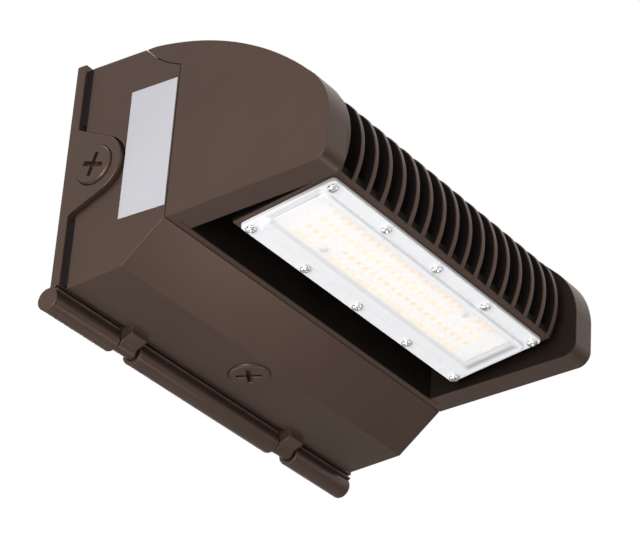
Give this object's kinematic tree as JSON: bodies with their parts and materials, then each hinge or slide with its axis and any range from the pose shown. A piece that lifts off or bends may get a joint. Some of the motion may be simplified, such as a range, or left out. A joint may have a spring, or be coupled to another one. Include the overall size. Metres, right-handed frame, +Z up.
{
  "type": "wall pack light",
  "caption": "Bronze LED wall pack light with a finned head, tilted lens panel, hinged driver box and wall plate.",
  "frame": {"origin": "on the wall plane, at the middle of the back plate's four corner holes", "axes": "+X to the right seen from the front, +Y into the wall, +Z up; the light faces -Y"},
  "size_m": [0.2496, 0.1674, 0.1402],
  "materials": {
    "bronze_coat": "fine-textured powder coat over cast aluminium, dark bronze",
    "bare_aluminium": "brushed sheet",
    "steel": "bright stainless",
    "gasket_rubber": "matte silicone",
    "moulding": "moulded nylon",
    "wire_sleeve": "extruded insulation",
    "label_film": "blank satin film",
    "lens_plastic": "glossy clear-milky polycarbonate",
    "board_enamel": "white solder mask",
    "chip_warm": "orange phosphor",
    "chip_cool": "pale yellow phosphor"
  },
  "bodies": {
    "mount_base": {"back_plate": "bronze_coat", "hinge_rod": "steel", "wall_gasket": "gasket_rubber", "housing_gasket": "gasket_rubber", "ground_screw": "steel", "side_plug_left": "bronze_coat", "side_plug_right": "bronze_coat"},
    "housing": {"driver_box": "bronze_coat", "bottom_plug": "bronze_coat", "captive_screws": "steel", "captive_washers": "gasket_rubber", "captive_nuts": "steel", "driver_case": "bare_aluminium", "driver_screws": "steel", "terminal_block": "moulding", "ground_wire": "wire_sleeve", "neutral_wire": "wire_sleeve", "line_wire": "wire_sleeve", "panel_wire_plus": "wire_sleeve", "panel_wire_minus": "wire_sleeve", "wire_grommet": "gasket_rubber", "label": "label_film", "head": "bronze_coat", "head_bolts": "steel", "lens": "lens_plastic", "lens_gasket": "gasket_rubber", "led_board": "board_enamel", "thermal_pad": "gasket_rubber", "leds_warm": "chip_warm", "leds_cool": "chip_cool", "lens_screws": "steel", "board_screws": "steel"}
  },
  "joints": [
    {"name": "housing_swing", "type": "hinge", "parent": "mount_base", "child": "housing", "pos_m": [0, -0.007, -0.0696], "axis": [1, 0, 0], "range_deg": [0, 90]}
  ]
}
